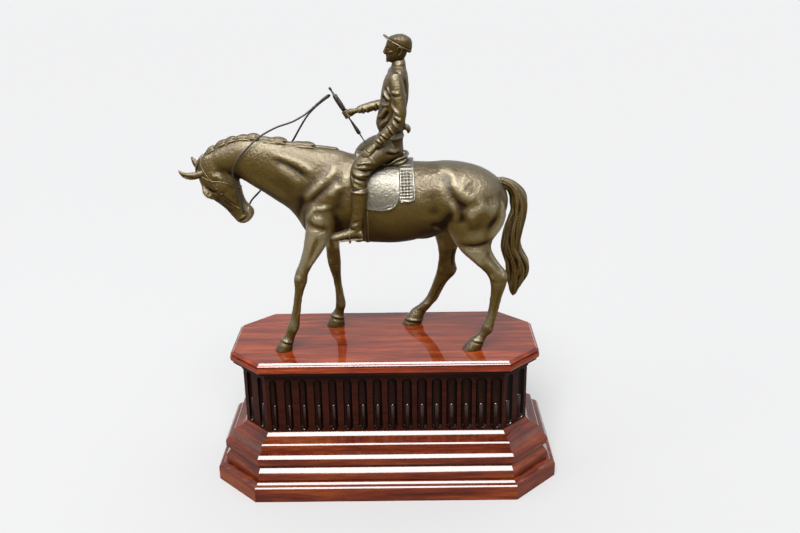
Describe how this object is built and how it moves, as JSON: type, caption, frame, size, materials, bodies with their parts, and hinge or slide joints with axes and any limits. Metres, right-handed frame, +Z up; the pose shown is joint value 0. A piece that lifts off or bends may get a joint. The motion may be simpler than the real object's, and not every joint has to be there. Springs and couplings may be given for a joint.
{
  "type": "jockey and horse statue",
  "caption": "Bronze statue of a walking horse with its jockey, on a stepped eight-sided wooden plinth with a fluted frieze.",
  "frame": {"origin": "middle of the plinth's underside", "axes": "+Z up, -X the way the horse walks, -Y the near side, where the jockey's hand lies on the thigh"},
  "size_m": [0.6351, 0.29, 0.7674],
  "materials": {
    "bronze": "golden brown patina, softly polished",
    "dark_metal": "dark grey-brown patina",
    "mahogany": "glossy varnish",
    "dark_mahogany": "glossy varnish, stained dark"
  },
  "bodies": {
    "root": {"bronze_horse_and_jockey": "bronze", "reins": "dark_metal", "whip": "dark_metal", "plinth_foot_slab": "mahogany", "plinth_lower_moulding": "mahogany", "plinth_middle_moulding": "mahogany", "plinth_bead_moulding": "mahogany", "plinth_fluted_frieze": "dark_mahogany", "plinth_hollow_moulding": "mahogany", "plinth_top_board": "mahogany"}
  },
  "joints": []
}
